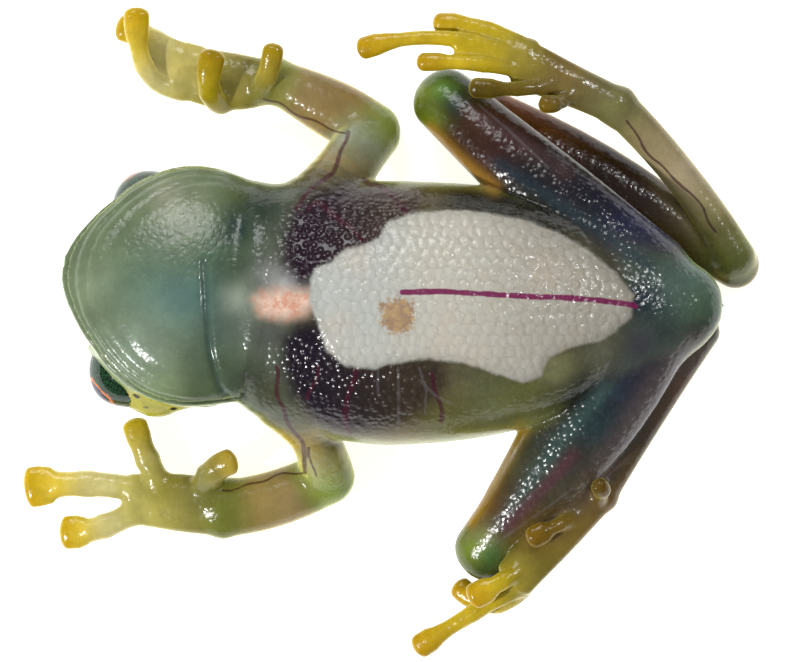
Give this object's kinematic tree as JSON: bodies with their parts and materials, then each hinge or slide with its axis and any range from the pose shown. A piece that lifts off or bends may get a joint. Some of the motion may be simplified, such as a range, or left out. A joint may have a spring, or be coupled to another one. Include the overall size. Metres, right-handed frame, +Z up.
{
  "type": "glass frog",
  "caption": "Life-size still model of a glass frog lying on its back, belly up, with bent limbs and round-tipped digits.",
  "frame": {"origin": "middle of the frog's outline, on the floor that it lies on", "axes": "+X from the snout to the vent, +Y to the frog's own left side, +Z up out of the belly"},
  "size_m": [0.034, 0.0298, 0.0085],
  "materials": {
    "skin": "wet, translucent green skin",
    "belly_skin": "wet, clear belly skin over white and dark organs",
    "leg_skin": "wet, dark, finely grained leg skin",
    "digit_skin": "wet yellow skin of the hands, feet and discs",
    "eye": "clear wet eye with a golden, dark-netted iris"
  },
  "bodies": {
    "root": {"head": "skin", "torso": "belly_skin", "eye_left": "eye", "eye_right": "eye", "upper_arm_left": "skin", "forearm_left": "skin", "hand_left": "digit_skin", "finger_left_1": "digit_skin", "finger_left_2": "digit_skin", "finger_left_3": "digit_skin", "finger_left_4": "digit_skin", "thigh_left": "leg_skin", "shank_left": "leg_skin", "tarsus_left": "skin", "foot_left": "digit_skin", "toe_left_1": "digit_skin", "toe_left_2": "digit_skin", "toe_left_3": "digit_skin", "toe_left_4": "digit_skin", "toe_left_5": "digit_skin", "upper_arm_right": "skin", "forearm_right": "skin", "hand_right": "digit_skin", "finger_right_1": "digit_skin", "finger_right_2": "digit_skin", "finger_right_3": "digit_skin", "finger_right_4": "digit_skin", "thigh_right": "leg_skin", "shank_right": "leg_skin", "tarsus_right": "skin", "foot_right": "digit_skin", "toe_right_1": "digit_skin", "toe_right_2": "digit_skin", "toe_right_3": "digit_skin", "toe_right_4": "digit_skin", "toe_right_5": "digit_skin"}
  },
  "joints": []
}
